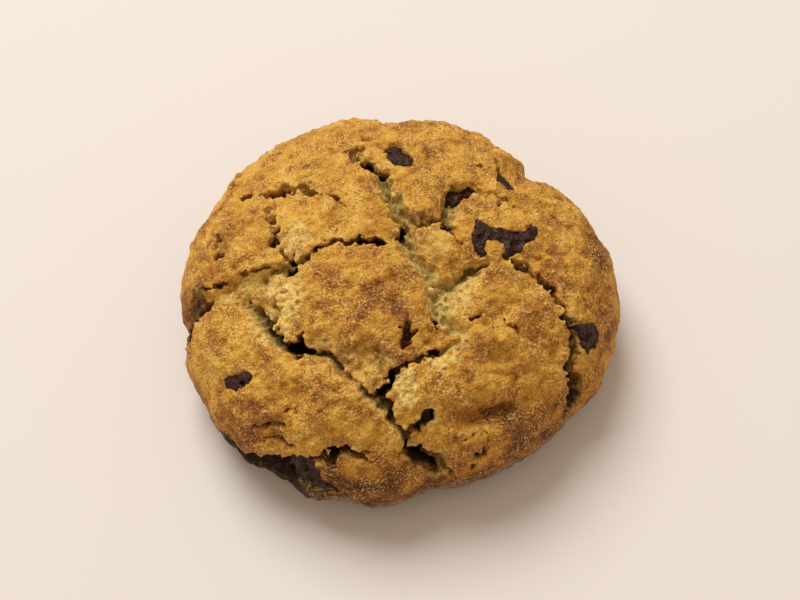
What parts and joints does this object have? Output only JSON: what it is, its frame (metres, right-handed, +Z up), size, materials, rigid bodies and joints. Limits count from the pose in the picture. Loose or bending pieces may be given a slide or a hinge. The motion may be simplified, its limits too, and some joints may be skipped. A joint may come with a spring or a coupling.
{
  "type": "chocolate chip cookie",
  "caption": "Thick round drop cookie with a domed, cracked crust, a flat base, and chocolate chips and chunks set in the dough.",
  "frame": {"origin": "middle of the cookie's bounding box at its flat base", "axes": "+Z up out of the domed crust, -Y towards the front, where the crust is steepest and most cracked, +X to the right seen from the front"},
  "size_m": [0.0851, 0.0823, 0.032],
  "materials": {
    "dough": "baked dough, dry and grainy",
    "chocolate": "dark chocolate with a dull sheen"
  },
  "bodies": {
    "root": {"cookie": "dough", "chunk_east": "chocolate", "chunk_front": "chocolate", "chip_back": "chocolate", "chip_east": "chocolate", "chip_west": "chocolate", "chip_north": "chocolate", "chip_north_east": "chocolate", "chip_south": "chocolate", "chip_hem": "chocolate", "sliver_east": "chocolate", "chip_rear_left": "chocolate", "chip_rear_right": "chocolate"}
  },
  "joints": []
}
